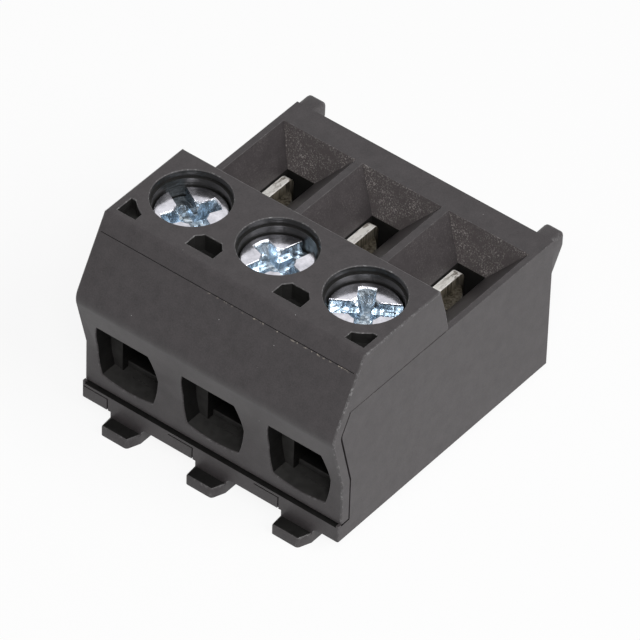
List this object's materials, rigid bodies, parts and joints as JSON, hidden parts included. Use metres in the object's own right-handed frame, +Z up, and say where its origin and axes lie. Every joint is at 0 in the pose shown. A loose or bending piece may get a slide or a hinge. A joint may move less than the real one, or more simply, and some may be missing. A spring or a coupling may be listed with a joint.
{
  "type": "pluggable terminal block",
  "caption": "Pluggable screw terminal block: a dark moulded base and cover with a row of wire mouths, slotted clamp screws, lifting clamp cages and open contact cells.",
  "frame": {"origin": "middle of the block's box on the surface that the guide ribs stand on", "axes": "+X along the row of wire places, +Y from the wire side to the mating side, +Z up along the screws"},
  "size_m": [0.015, 0.017, 0.0113],
  "materials": {
    "base_plastic": "dark grey-black moulded nylon with a fine spark-eroded grain",
    "cover_plastic": "dark grey-black moulded nylon, satin",
    "contact_metal": "tin-plated stamped copper alloy",
    "clamp_metal": "zinc-plated folded steel",
    "screw_metal": "blue-passivated zinc-plated steel"
  },
  "bodies": {
    "housing": {"base": "base_plastic", "cover": "cover_plastic", "contact_1": "contact_metal", "contact_2": "contact_metal", "contact_3": "contact_metal"},
    "screw_1": {"screw_1": "screw_metal"},
    "clamp_1": {"clamp_1": "clamp_metal"},
    "screw_2": {"screw_2": "screw_metal"},
    "clamp_2": {"clamp_2": "clamp_metal"},
    "screw_3": {"screw_3": "screw_metal"},
    "clamp_3": {"clamp_3": "clamp_metal"}
  },
  "joints": [
    {"name": "screw_1_turn", "type": "hinge", "parent": "housing", "child": "screw_1", "pos_m": [-0.005, -0.00317, 0.0093], "axis": [0, 0, -1], "range_deg": [0, 1800]},
    {"name": "clamp_1_lift", "type": "slide", "parent": "housing", "child": "clamp_1", "axis": [0, 0, 1], "range_m": [0, 0.002]},
    {"name": "screw_2_turn", "type": "hinge", "parent": "housing", "child": "screw_2", "pos_m": [0, -0.00317, 0.0093], "axis": [0, 0, -1], "range_deg": [0, 1800]},
    {"name": "clamp_2_lift", "type": "slide", "parent": "housing", "child": "clamp_2", "axis": [0, 0, 1], "range_m": [0, 0.002]},
    {"name": "screw_3_turn", "type": "hinge", "parent": "housing", "child": "screw_3", "pos_m": [0.005, -0.00317, 0.0093], "axis": [0, 0, -1], "range_deg": [0, 1800]},
    {"name": "clamp_3_lift", "type": "slide", "parent": "housing", "child": "clamp_3", "axis": [0, 0, 1], "range_m": [0, 0.002]}
  ],
  "couplings": [
    {"joint": "screw_1_turn", "follows": "clamp_1_lift", "rad_per_m": 15707},
    {"joint": "screw_2_turn", "follows": "clamp_2_lift", "rad_per_m": 15707},
    {"joint": "screw_3_turn", "follows": "clamp_3_lift", "rad_per_m": 15707}
  ]
}
